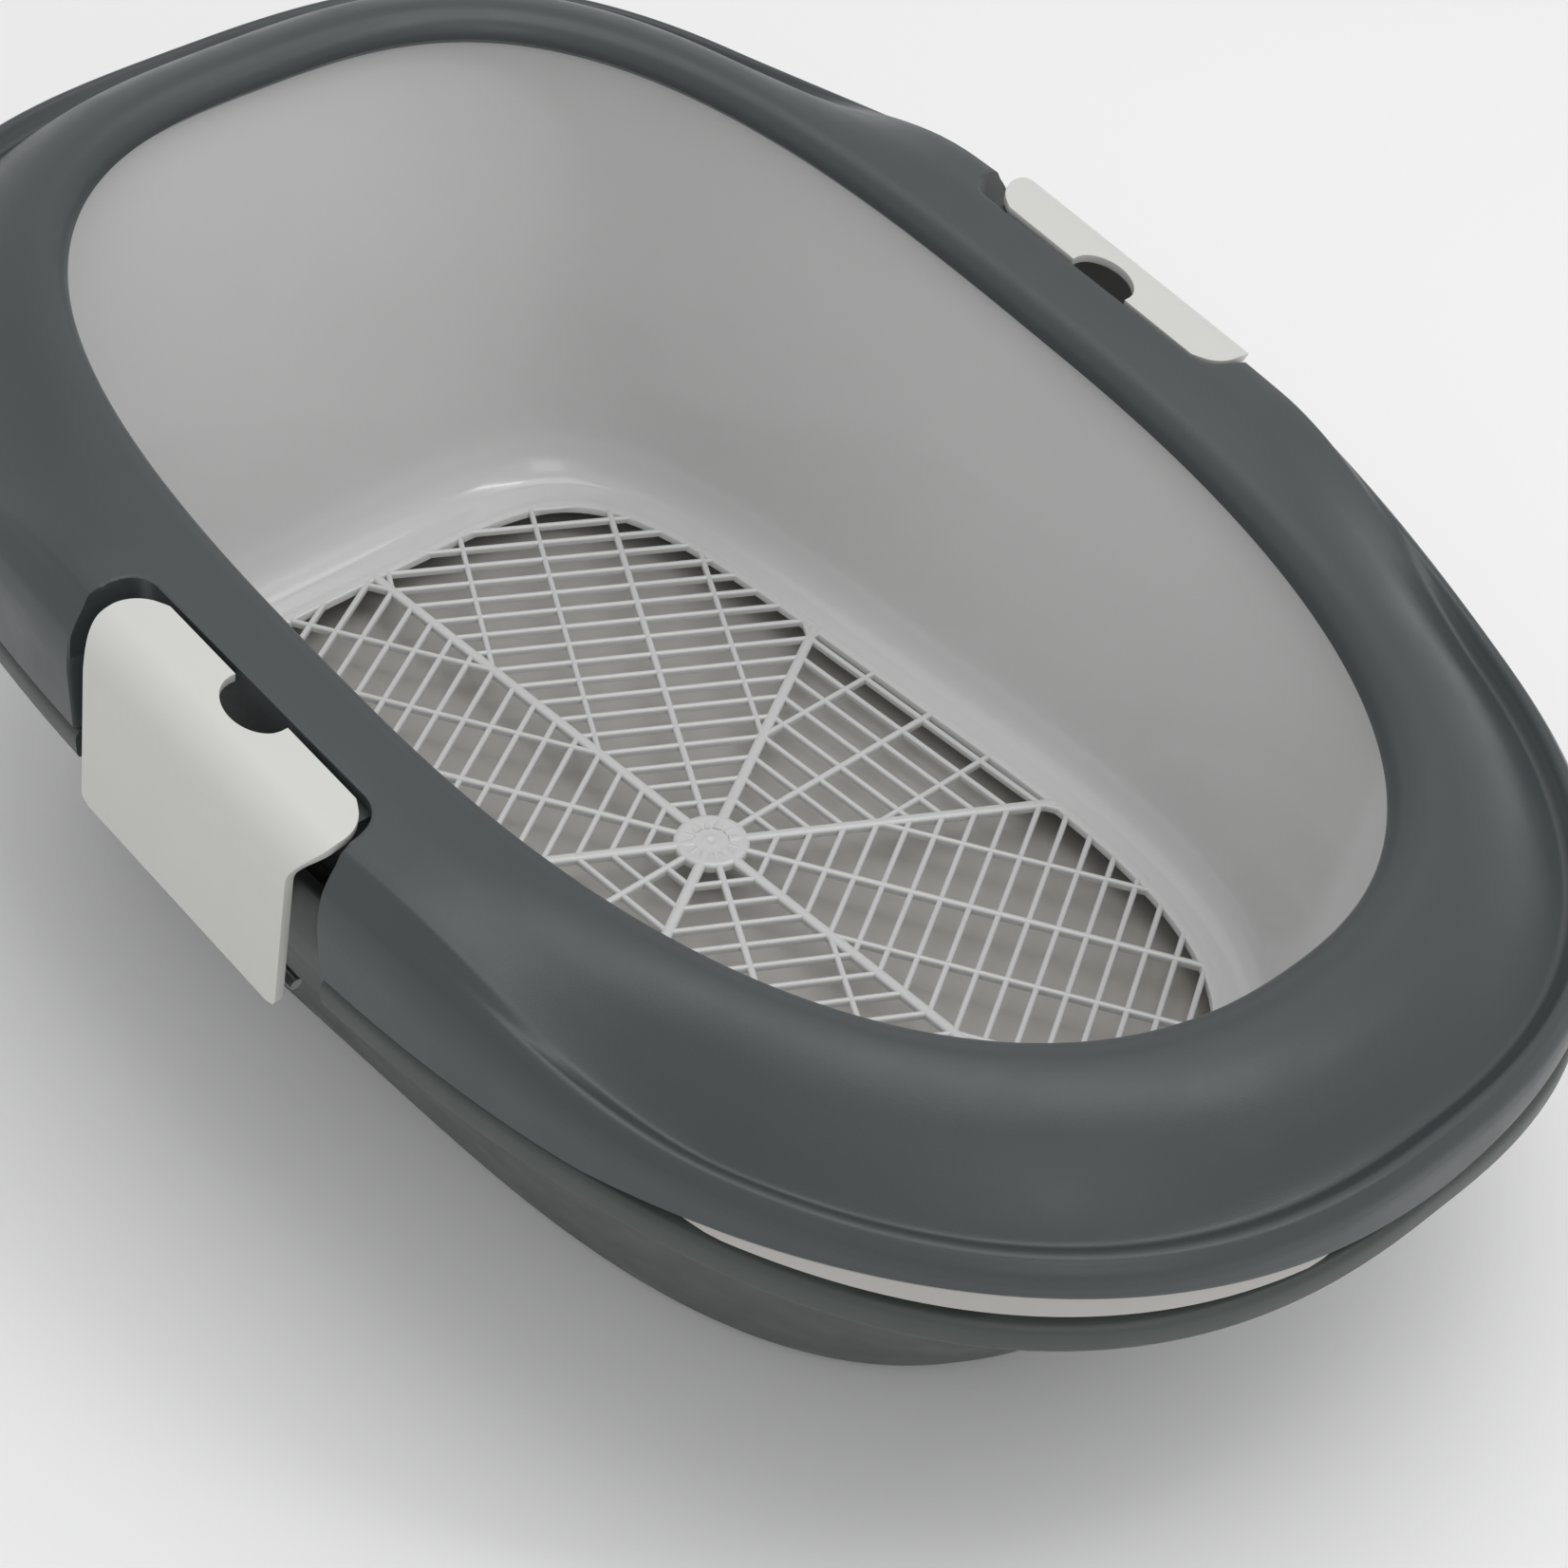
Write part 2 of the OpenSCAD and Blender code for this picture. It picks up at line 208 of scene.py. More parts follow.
# ---- Meshes ----
def add_mesh(name, points, faces, sharp=35.0):
    mesh = bpy.data.meshes.new(name)
    mesh.from_pydata([Vector(p) * MM for p in points], [], faces)
    mesh.validate()
    for polygon in mesh.polygons:
        polygon.use_smooth = True
    mesh.set_sharp_from_angle(angle=math.radians(sharp))
    obj = bpy.data.objects.new(name, mesh)
    bpy.context.scene.collection.objects.link(obj)
    return obj


def mirrored(rows):
    return rows + [[(x, -y, z) for x, y, z in row] for row in rows[-2:0:-1]]


def ring_mesh(name, rows, closed_section):
    """A shell through the sections: a closed tube, or a cup with a floor at both ends of each section."""
    rows = mirrored(rows)
    n, m = len(rows), len(rows[0])
    faces = []
    for i in range(n):
        k = (i + 1) % n
        for j in range(m if closed_section else m - 1):
            q = (j + 1) % m
            faces.append((i * m + j, k * m + j, k * m + q, i * m + q))
    if not closed_section:
        faces.append([i * m for i in range(n)])
        faces.append([i * m + m - 1 for i in range(n - 1, -1, -1)])
    return add_mesh(name, [p for row in rows for p in row], faces)


def facing_out(obj):
    """Turns every face outwards."""
    bm = bmesh.new()
    bm.from_mesh(obj.data)
    bmesh.ops.recalc_face_normals(bm, faces=bm.faces)
    bm.to_mesh(obj.data)
    bm.free()
    return obj


# ---- Rim ----
# (share of the way from the opening to the outer edge, height away from the clips, height at the clips)
# The groove inside the outer bead is up to 3.5 mm deeper here than in part.scad.
RIM_PATH = [
    (0, -1, -1), (0.006, 1.5, 1.5), (0.025, 4, 4), (0.06, 6.2, 6.2), (0.12, 8, 8), (0.2, 8.5, 8.8),
    (0.32, 7, 9.6), (0.46, 2.5, 10), (0.6, -4.6, 9.5), (0.72, -11.8, 8.8), (0.79, -15.4, 8),
    (0.83, -16.4, 7), (0.87, -14.4, 3.5), (0.905, -12.2, 1), (0.94, -12.1, -2), (0.965, -13.8, -5),
    (0.99, -16.3, -11), (1, -19.5, -16)]
INNER_SHARE_START = 0.055
INNER_SHARE_SPAN = 0.89
RIM_FOOT_ROUND = 0.5
LAND_NEAR = 60.0
LAND_FAR = 150.0
RIM_FOOT_GAP = 0.4


def land(x):
    return 1 - smooth(LAND_NEAR, LAND_FAR, abs(x - CLIP_X))


def rim_point(control, s, inner):
    share, band, flat = control
    share = min(1.0, max(0.0, share))
    spread = WALL if inner else 0.0
    ring = mix(LIP, OUT, INNER_SHARE_START + INNER_SHARE_SPAN * share if inner else share)
    x, y = spot(ring, s, RIM_RECESS_Y - spread, spread)
    on_lip = lip_x(ring, x)
    t = land(on_lip)
    return x, y, lip_z(on_lip) + (1 - t) * band + t * flat - spread


def rim_foot(s, inner):
    spread = WALL if inner else 0.0
    ring = mix(LIP, OUT, INNER_SHARE_START + INNER_SHARE_SPAN if inner else 1.0)
    x, y = spot(ring, s, RIM_RECESS_Y - spread, spread)
    return x, y, seam_z(lip_x(ring, x)) + RIM_FOOT_GAP + STRIP_H * bow(s)


def rim_row(s):
    outer = [rim_point(c, s, False) for c in spline(RIM_PATH, 5)]
    inner = [rim_point(c, s, True) for c in spline(RIM_PATH, 2)]
    foot_out, foot_in = rim_foot(s, False), rim_foot(s, True)
    low = [mix(outer[-1], foot_out, t) for t in (0.3, 0.65)]
    round_foot = [(foot_out[0], foot_out[1], foot_out[2] + RIM_FOOT_ROUND),
                  (foot_out[0], foot_out[1] - RIM_FOOT_ROUND, foot_out[2])]
    return outer + low + round_foot + [foot_in] + inner[::-1]


def make_rim():
    return facing_out(ring_mesh("rim_shell", [rim_row(s) for s in STATIONS], True))


# ---- Base tray ----
WALL_SHARE = 0.82
WALL_END = 8.0
BEAD_H = 11.0
BEAD_DROP = 3.0
BASE_TOP = 0.8
BASE_INNER_SPREAD = WALL + 1


def base_wall(z, seam):
    return mix(FOOT, OUT, WALL_SHARE * z / (seam - WALL_END))


def station_seam(s):
    return seam_z(lip_x(OUT, station_x(OUT, s)))


def base_row(s):
    seam = station_seam(s)
    bead = seam - BASE_TOP - BEAD_DROP * bow(s)
    low = bead - BEAD_H

    def at(ring, z, inner=False, inboard=0.0):
        reach = BASE_RECESS_Y - (WALL if inner else 0) - inboard
        x, y = spot(ring, s, reach, BASE_INNER_SPREAD if inner else 0)
        return x, y, z

    heights = [0.14, 0.2, 0.3, 0.4, 0.5, 0.6, 0.7, 0.8, 0.9, 0.97]
    outside = [
        at(grow(FOOT, -5), 0), at(grow(FOOT, -2.6), 0.4),
        at(grow(FOOT, -0.6), 1.8), at(grow(FOOT, 1.4), 4.6),
        *[at(base_wall(h * low, seam), h * low) for h in heights],
        at(base_wall(low, seam), low), at(grow(OUT, -2), low + 0.5),
        at(grow(OUT, -0.6), low + 1.2), at(OUT, low + 2.6),
        at(OUT, bead - 3), at(grow(OUT, -0.5), bead - 1.5),
        at(grow(OUT, -1.7), bead - 0.4, False, 0.3), at(grow(OUT, -4), bead, False, 0.8),
        at(grow(base_wall(seam, seam), 1), seam - BASE_TOP, False, 1.4)]
    inside = [
        at(grow(base_wall(seam, seam), -WALL), seam - BASE_TOP, True),
        *[at(grow(base_wall(h * low, seam), -WALL), h * low, True) for h in heights[::-1]],
        at(grow(FOOT, -1.5), 7.5, True), at(grow(FOOT, -3), 4.6, True), at(grow(FOOT, -7), WALL, True)]
    return outside + inside


def make_base():
    return facing_out(ring_mesh("base_shell", [base_row(s) for s in STATIONS], False))


# ---- Litter tray ----
LITTER_FLOOR = 17.0
LITTER_INSET = 6.0
FLANGE_IN = 0.925
FLANGE_MORE = 0.06
FLANGE_T = 2.5
LITTER_SPREAD = WALL + 2.5
GAP = 0.6
HOOK_GAP = 0.6


def litter_row(s):
    seam = station_seam(s)
    low = seam - WALL_END
    low_edge = seam - BASE_TOP + GAP
    rest = low_edge + FLANGE_T
    lift = max(rest, seam + RIM_FOOT_GAP - GAP + STRIP_H * bow(s))
    edge = mix(LIP, OUT, FLANGE_IN + FLANGE_MORE * smooth(0.24, 0.5, bow(s)))
    spread = LITTER_SPREAD

    def at(ring, z, inner=False, inboard=0.0):
        reach = LITTER_RECESS_Y - (TRAY_WALL if inner else 0) - inboard
        x, y = spot(ring, s, reach, spread + (TRAY_WALL if inner else 0))
        return x, y, z

    heights = [0.3, 0.45, 0.6, 0.75, 0.88]
    thick = LITTER_INSET + TRAY_WALL
    foot = base_wall(LITTER_FLOOR, seam)
    return [
        at(grow(foot, -LITTER_INSET - 5), LITTER_FLOOR),
        at(grow(foot, -LITTER_INSET - 1.5), LITTER_FLOOR + 1),
        at(grow(foot, -LITTER_INSET), LITTER_FLOOR + 4),
        *[at(grow(base_wall(h * low, seam), -LITTER_INSET), h * low, False, 2) for h in heights],
        at(grow(base_wall(seam, seam), -LITTER_INSET), low_edge, False, 2),
        at(grow(edge, -0.4), low_edge), at(edge, low_edge + 0.4),
        at(edge, lift - 0.4), at(grow(edge, -0.4), lift),
        at(grow(edge, -2), lift, False, 0.6), at(grow(edge, -2.5), rest - 0.1, False, 1.2),
        at(grow(base_wall(seam, seam), -thick), rest, True, 2),
        *[at(grow(base_wall(h * low, seam), -thick), h * low, True, 2) for h in heights[::-1]],
        at(grow(foot, -thick), LITTER_FLOOR + 6.5, True),
        at(grow(foot, -thick - 1.6), LITTER_FLOOR + 3.6, True),
        at(grow(foot, -thick - 5.5), LITTER_FLOOR + TRAY_WALL, True)]


def make_litter():
    return facing_out(ring_mesh("litter_shell", [litter_row(s) for s in STATIONS], False))


# ---- Sieve tray ----
# (share of the height, share of the way from the floor's edge to the opening's edge)
SIEVE_WALL = [(0, 0), (0.01, 0.13), (0.035, 0.22), (0.075, 0.29), (0.13, 0.35), (0.3, 0.47), (0.55, 0.65),
              (0.78, 0.83), (1, 1)]
LIP_INSET = 0.12
SIEVE_TOP = 2.5
SIEVE_FLANGE = 0.87
SIEVE_FLANGE_T = 2.3
GRID_T = 3.0
SIEVE_SPREAD = WALL + 2


def sieve_share(h, path):
    for (h0, t0), (h1, t1) in zip(path, path[1:]):
        if h <= h1:
            return t0 + (t1 - t0) * (h - h0) / (h1 - h0)
    return path[-1][1]


FINE_WALL = spline(SIEVE_WALL, 8)


def sieve_row(s):
    height = LIP_H + SIEVE_TOP + rise(station_x(LIP, s))
    seam = station_seam(s)
    rest = seam - BASE_TOP + FLANGE_T + 2 * GAP
    top = rest + SIEVE_FLANGE_T

    def at(ring, z):
        x, y = spot(ring, s, SIEVE_RECESS_Y, SIEVE_SPREAD)
        return x, y, z

    def on_wall(h, outside):
        ring = mix(GRID, mix(LIP, OUT, LIP_INSET), sieve_share(h, FINE_WALL))
        return at(grow(ring, TRAY_WALL if outside else 0), FLOOR_Z + h * height)

    edge = mix(LIP, OUT, SIEVE_FLANGE)
    h_top, h_low = (top - FLOOR_Z) / height, (rest - FLOOR_Z) / height
    inside = [on_wall(h, False) for h, _ in FINE_WALL]
    low_outside = [on_wall(h, True) for h in (0.6, 0.45, 0.3, 0.2, 0.13, 0.075, 0.035, 0.012)]
    return [
        at(grow(GRID, -2), FLOOR_Z - GRID_T), at(grow(GRID, -2), FLOOR_Z), *inside,
        on_wall(1, True), on_wall(h_top, True), at(edge, top), at(edge, rest), on_wall(h_low, True),
        *low_outside, at(GRID, FLOOR_Z - GRID_T)]


def make_sieve():
    return facing_out(ring_mesh("sieve_shell", [sieve_row(s) for s in STATIONS], True))


# ---- Sieve web ----
PITCH = 28.8
RIB_W = 4.0
BAR_W = 2.2
HUB_R = 13.0
SECTOR = 60
MEDIAL = math.radians(30)
BAR_PITCH = PITCH * math.sqrt(3) / 5
LONG_BARS = 19
SIDE_BARS = 10
WEB_EDGE = grow(GRID, -2.5)
WEB_REACH = 240.0
WEB_CORE = 6.0
NO_RECESS = 400.0
SHORTEST_BAR = 6


def inside_web(x, y):
    return abs(x) < WEB_EDGE[0] and abs(y) < egg_y(WEB_EDGE, x)


def clipped(a, b):
    """The part of the line from a to b that lies on the sieve floor, or None. Point a may lie outside."""
    steps = 240
    line = [(a[0] + (b[0] - a[0]) * i / steps, a[1] + (b[1] - a[1]) * i / steps) for i in range(steps + 1)]
    kept = [p for p in line if inside_web(*p)]
    if len(kept) < SHORTEST_BAR:
        return None
    return kept[0], kept[-1]


def turned(p, degrees):
    c, s = math.cos(math.radians(degrees)), math.sin(math.radians(degrees))
    return c * p[0] - s * p[1], s * p[0] + c * p[1]


def web_lines():
    """(start, end, width, height below the floor's top) of every bar."""
    lines = []
    for k in range(6):
        on_side = k in (1, 4)
        lines.append((turned((WEB_CORE, 0), SECTOR * k), turned((WEB_REACH, 0), SECTOR * k), RIB_W, 0.0))
        turn = SECTOR * k + 30
        lines.append((turned((WEB_CORE, 0), turn), turned((WEB_REACH, 0), turn), BAR_W + 0.4, 0.1))
        for n in range(1, 3 if on_side else 4):
            for side in (1, -1):
                a, b = (n * PITCH / math.tan(MEDIAL), side * n * PITCH), (WEB_REACH, side * n * PITCH)
                lines.append((turned(a, turn), turned(b, turn), BAR_W, 0.15))
        for n in range(2, (SIDE_BARS if on_side else LONG_BARS) + 1):
            d, half = n * BAR_PITCH, n * BAR_PITCH * math.tan(MEDIAL)
            lines.append((turned((d, -half), turn), turned((d, half), turn), BAR_W, 0.25))
    return lines


def bar_mesh(points, faces, a, b, width, drop):
    """One bar with a rounded top from a to b."""
    top, low = FLOOR_Z - drop, FLOOR_Z - GRID_T + drop
    half = width / 2
    section = [(-half * 0.82, low), (half * 0.82, low), (half, top - 1.0), (half * 0.86, top - 0.45),
               (half * 0.5, top - 0.1), (0, top), (-half * 0.5, top - 0.1), (-half * 0.86, top - 0.45),
               (-half, top - 1.0)]
    along = Vector((b[0] - a[0], b[1] - a[1])).normalized()
    across = Vector((-along.y, along.x))
    start = len(points)
    for end in (a, b):
        for w, z in section:
            points.append((end[0] + across.x * w, end[1] + across.y * w, z))
    m = len(section)
    for j in range(m):
        q = (j + 1) % m
        faces.append((start + j, start + q, start + m + q, start + m + j))
    faces.append([start + m - 1 - j for j in range(m)])
    faces.append([start + m + j for j in range(m)])


def lathe_mesh(points, faces, profile, steps=64):
    """A solid of revolution about Z; the profile runs from the axis at the top to the axis below."""
    start = len(points)
    m = len(profile)
    for i in range(steps):
        a = 2 * math.pi * i / steps
        points.extend((r * math.cos(a), r * math.sin(a), z) for r, z in profile)
    for i in range(steps):
        k = (i + 1) % steps
        for j in range(m - 1):
            here, there = start + i * m + j, start + k * m + j
            faces.append((here, here + 1, there + 1, there))
    faces.append([start + i * m for i in range(steps)])
    faces.append([start + i * m + m - 1 for i in range(steps - 1, -1, -1)])


def make_web():
    points, faces = [], []
    for a, b, width, drop in web_lines():
        ends = clipped(a, b)
        if ends:
            bar_mesh(points, faces, ends[0], ends[1], width, drop)
    top = FLOOR_Z
    hub = [(0.6, top - 0.9), (1.4, top - 0.5), (2.2, top - 0.35), (3.0, top - 0.6), (4.0, top - 0.7),
           (8.5, top - 0.35), (HUB_R - 2, top), (HUB_R - 0.8, top - 0.1), (HUB_R - 0.1, top - 0.7),
           (HUB_R, top - 1.4), (HUB_R, top - GRID_T), (0.6, top - GRID_T)]
    lathe_mesh(points, faces, hub)
    web = add_mesh("sieve_web", points, faces, 50.0)
    border = [[(*spot(grow(GRID, inset), s, NO_RECESS, 0), z) for inset, z in
               ((-1.2, FLOOR_Z - GRID_T), (-1.2, FLOOR_Z), (-3.6, FLOOR_Z - 0.15), (-4.6, FLOOR_Z - 0.6),
                (-5, FLOOR_Z - 1.4), (-5, FLOOR_Z - GRID_T))] for s in STATIONS]
    edge = ring_mesh("sieve_web_edge", border, True)
    return facing_out(web), facing_out(edge)


# ---- Clips ----
def clip_place(side):
    """The matrix of the clips' frame: on the rim's land at the clip's middle, along the rim's slope."""
    slope = RISE_SLOPE / (1 + math.exp((CLIP_X - RISE_START) / RISE_BEND))
    tilt = Matrix.Rotation(math.atan(slope), 4, "Y")
    place = Matrix.Translation(Vector((CLIP_X, 0, lip_z(CLIP_X) + LAND_RISE)))
    return Matrix.Diagonal((1, side, 1, 1)) @ place @ tilt


CLIP_CORNER = 13.0
CLIP_WAIST = 5.5
WAIST_START = 16.0
WAIST_END = 34.0
CLIP_FOOT = 4.0
NOTCH_R = 15.0
NOTCH_IN = 4.0
CLIP_ROUND = 0.55


def clip_profile():
    """Points (y, z) of the clip's outer face from its hooked edge down to its foot."""
    turn_y = CLIP_FACE_Y - CLIP_R
    plate = [(CLIP_TIP_Y + (turn_y - CLIP_TIP_Y) * i / 12, 0.0) for i in range(12)]
    arc = [(turn_y + CLIP_R * math.sin(a), -CLIP_R + CLIP_R * math.cos(a))
           for a in (math.radians(90) * i / 20 for i in range(21))]
    leg = [(CLIP_FACE_Y, -CLIP_R - (CLIP_H - CLIP_R) * i / 30) for i in range(1, 31)]
    return plate + arc + leg


def line_length(points):
    return [sum(math.dist(points[i], points[i + 1]) for i in range(k)) for k in range(len(points))]


def along_profile(points, lengths, s):
    for i in range(len(points) - 1):
        if s <= lengths[i + 1]:
            t = (s - lengths[i]) / (lengths[i + 1] - lengths[i])
            return mix(points[i], points[i + 1], max(0.0, t))
    return points[-1]


def clip_half_length(s, total):
    """Half length of the clip at a distance s down its face: round corners, a waist, a straight leg."""
    half = CLIP_L / 2
    if s < CLIP_CORNER:
        return half - CLIP_CORNER + math.sqrt(CLIP_CORNER ** 2 - (CLIP_CORNER - s) ** 2)
    if s > total - CLIP_FOOT:
        into = s - (total - CLIP_FOOT)
        return half - CLIP_WAIST - CLIP_FOOT + math.sqrt(max(0.0, CLIP_FOOT ** 2 - into ** 2))
    return half - CLIP_WAIST * smooth(WAIST_START, WAIST_END, s)


def notch_depth(x):
    """How far the finger notch cuts into the plate at a distance x from the clip's middle."""
    if abs(x) >= NOTCH_R:
        return 0.0
    depth = math.sqrt(NOTCH_R ** 2 - x ** 2) - NOTCH_IN
    return depth if depth > 1.0 else 0.25 * max(0.0, depth + 1.0) ** 2


def make_clip(side, name):
    profile = clip_profile()
    lengths = line_length(profile)
    total = lengths[-1]
    across, down = 110, 70
    points = []
    for i in range(down + 1):
        for j in range(across + 1):
            even = 2 * j / across - 1
            u = 0.35 * math.sin(math.radians(90) * even) + 0.65 * even
            start = notch_depth(u * CLIP_L / 2)
            s = start + (total - start) * i / down
            y, z = along_profile(profile, lengths, s)
            half = clip_half_length(max(s, 0.4), total)
            points.append((u * half, y, z))
    wide = across + 1
    faces = [(i * wide + j, i * wide + j + 1, (i + 1) * wide + j + 1, (i + 1) * wide + j)
             for i in range(down) for j in range(across)]
    clip = add_mesh(name, points, faces, 40.0)
    solid = clip.modifiers.new("thickness", "SOLIDIFY")
    solid.thickness = CLIP_T * MM
    solid.offset = -1
    soften = clip.modifiers.new("edges", "BEVEL")
    soften.width = CLIP_ROUND * MM
    soften.segments = 3
    soften.angle_limit = math.radians(50)
    clip.data.transform(scaled(clip_place(side)))
    if side < 0:
        clip.data.flip_normals()
    apply_modifiers(clip)
    return clip


def scaled(matrix):
    """A matrix that is stated in millimetres, for meshes that are in metres."""
    out = matrix.copy()
    out.translation = matrix.translation * MM
    return out


def apply_modifiers(obj):
    bpy.context.view_layer.update()
    graph = bpy.context.evaluated_depsgraph_get()
    mesh = bpy.data.meshes.new_from_object(obj.evaluated_get(graph))
    obj.modifiers.clear()
    obj.data = mesh
    for polygon in mesh.polygons:
        polygon.use_smooth = True
    mesh.set_sharp_from_angle(angle=math.radians(40))


# ---- Hinges and ledges, in the clips' frame ----
BARREL_START = 19.2
BARREL_END = 38.0
BARREL_HOLE = 2.06
BARREL_R = 4.1
LUG_HALF = 18.0
LUG_HOLE = 2.04
LUG_R = 3.5
LEDGE_START = 17.0
LEDGE_END = 48.0
LEDGE_T = 2.3
LEDGE_TIP_Y = 180.0
SOFT_EDGE = 0.8


def tube(points, faces, x0, x1, r_in, r_out, steps=40):
    """A tube along X about the hinge axis, in the clips' frame."""
    start = len(points)
    section = [(x0, r_in), (x0, r_out - 0.4), (x0 + 0.4, r_out),
               (x1 - 0.4, r_out), (x1, r_out - 0.4), (x1, r_in)]
    m = len(section)
    for i in range(steps):
        a = 2 * math.pi * i / steps
        points.extend((x, PIVOT_Y + r * math.cos(a), -PIVOT_DROP + r * math.sin(a)) for x, r in section)
    for i in range(steps):
        k = (i + 1) % steps
        for j in range(m):
            q = (j + 1) % m
            faces.append((start + i * m + j, start + i * m + q, start + k * m + q, start + k * m + j))


def make_barrels(side, name):
    points, faces = [], []
    for x0, x1 in ((-BARREL_END, -BARREL_START), (BARREL_START, BARREL_END)):
        tube(points, faces, x0, x1, BARREL_HOLE, BARREL_R)
    obj = add_mesh(name, points, faces)
    obj.data.transform(scaled(clip_place(side)))
    return facing_out(obj)


def make_lug(side, name):
    """The hinge lug that is moulded on the base tray."""
    points, faces = [], []
    tube(points, faces, -LUG_HALF, LUG_HALF, LUG_HOLE, LUG_R)
    reach_in, reach_out = BASE_RECESS_Y - 2, PIVOT_Y - 2.6
    start = len(points)
    for x in (-LUG_HALF, LUG_HALF):
        points.extend([(x, reach_in, -PIVOT_DROP - LUG_R), (x, reach_out, -PIVOT_DROP - 3.0),
                       (x, reach_out, -PIVOT_DROP + 3.0), (x, reach_in, -PIVOT_DROP + LUG_R)])
    for j in range(4):
        q = (j + 1) % 4
        faces.append((start + j, start + q, start + 4 + q, start + 4 + j))
    faces.append([start + 3, start + 2, start + 1, start])
    faces.append([start + 4, start + 5, start + 6, start + 7])
    obj = add_mesh(name, points, faces)
    obj.data.transform(scaled(clip_place(side)))
    return facing_out(obj)


def make_ledge(side, name):
    """The rim's ledge that a clip's plate hooks over, in two parts with room for a finger between them."""
    top = -CLIP_T - HOOK_GAP
    low = top - LEDGE_T
    y0, y1 = RIM_RECESS_Y - 2, LEDGE_TIP_Y
    section = [(y0, low), (y1 - SOFT_EDGE, low), (y1, low + SOFT_EDGE),
               (y1, top - SOFT_EDGE), (y1 - SOFT_EDGE, top), (y0, top)]
    m = len(section)
    points, faces = [], []
    for x0, x1 in ((-LEDGE_END, -LEDGE_START), (LEDGE_START, LEDGE_END)):
        start = len(points)
        points.extend((x, y, z) for x in (x0, x1) for y, z in section)
        for j in range(m):
            q = (j + 1) % m
            faces.append((start + j, start + q, start + m + q, start + m + j))
        faces.append([start + m - 1 - j for j in range(m)])
        faces.append([start + m + j for j in range(m)])
    obj = add_mesh(name, points, faces)
    obj.data.transform(scaled(clip_place(side)))
    return facing_out(obj)


# ---- Materials ----
def plastic(name, color, rough, rough_spread, grain, bump, mottle, coat=0.0, coat_rough=0.1):
    """Moulded plastic: slow colour drift, uneven gloss, fine satin grain and slight sink in the surface."""
    mat = bpy.data.materials.new(name)
    mat.use_nodes = True
    nodes, links = mat.node_tree.nodes, mat.node_tree.links
    shader = nodes["Principled BSDF"]
    shader.inputs["IOR"].default_value = 1.49
    shader.inputs["Coat Weight"].default_value = coat
    shader.inputs["Coat Roughness"].default_value = coat_rough
    where = nodes.new("ShaderNodeTexCoord")

    def noise(scale, detail):
        n = nodes.new("ShaderNodeTexNoise")
        n.inputs["Scale"].default_value = scale
        n.inputs["Detail"].default_value = detail
        links.new(where.outputs["Object"], n.inputs["Vector"])
        return n

    slow = noise(9.0, 3.0)
    tint = nodes.new("ShaderNodeValToRGB")
    tint.color_ramp.elements[0].position = 0.3
    tint.color_ramp.elements[1].position = 0.7
    tint.color_ramp.elements[0].color = [c * (1 - mottle) for c in color] + [1]
    tint.color_ramp.elements[1].color = [c * (1 + mottle) for c in color] + [1]
    links.new(slow.outputs["Fac"], tint.inputs["Fac"])
    links.new(tint.outputs["Color"], shader.inputs["Base Color"])
    gloss = noise(60.0, 5.0)
    span = nodes.new("ShaderNodeMapRange")
    span.inputs["From Min"].default_value = 0.3
    span.inputs["From Max"].default_value = 0.7
    span.inputs["To Min"].default_value = rough - rough_spread
    span.inputs["To Max"].default_value = rough + rough_spread
    links.new(gloss.outputs["Fac"], span.inputs["Value"])
    links.new(span.outputs["Result"], shader.inputs["Roughness"])
    fine = noise(grain, 2.0)
    sink = noise(14.0, 1.0)
    total = nodes.new("ShaderNodeMath")
    total.operation = "MULTIPLY_ADD"
    total.inputs[1].default_value = 6.0
    links.new(sink.outputs["Fac"], total.inputs[0])
    links.new(fine.outputs["Fac"], total.inputs[2])
    relief = nodes.new("ShaderNodeBump")
    relief.inputs["Strength"].default_value = bump
    relief.inputs["Distance"].default_value = 0.0002
    links.new(total.outputs["Value"], relief.inputs["Height"])
    links.new(relief.outputs["Normal"], shader.inputs["Normal"])
    return mat


def steel(name):
    mat = plastic(name, (0.5, 0.5, 0.52), 0.3, 0.06, 2200.0, 0.1, 0.04)
    mat.node_tree.nodes["Principled BSDF"].inputs["Metallic"].default_value = 1.0
    return mat


def finish_piece(obj, mat, body, slot, *replaced):
    obj.data.materials.clear()
    obj.data.materials.append(mat)
    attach(obj, body)
    if replaced:
        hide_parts(*replaced)


slate = plastic("slate_plastic", (0.042, 0.051, 0.054), 0.36, 0.05, 2600.0, 0.22, 0.05)
slate_low = plastic("slate_plastic_base", (0.048, 0.058, 0.053), 0.42, 0.05, 2600.0, 0.22, 0.05)
grey = plastic("grey_plastic", (0.58, 0.585, 0.58), 0.2, 0.03, 1800.0, 0.05, 0.025, 0.5, 0.1)
# Painted shade: the litter tray is the same light grey plastic as the sieve, made darker and browner here
# to stand in for the shade it sits in under the sieve.
grey_shaded_litter = plastic("grey_plastic_litter_painted_shade", (0.42, 0.41, 0.385), 0.32, 0.04, 1800.0, 0.08, 0.04)
cream = plastic("cream_plastic", (0.57, 0.575, 0.545), 0.36, 0.04, 2400.0, 0.15, 0.02)
pin_steel = steel("steel_pin")

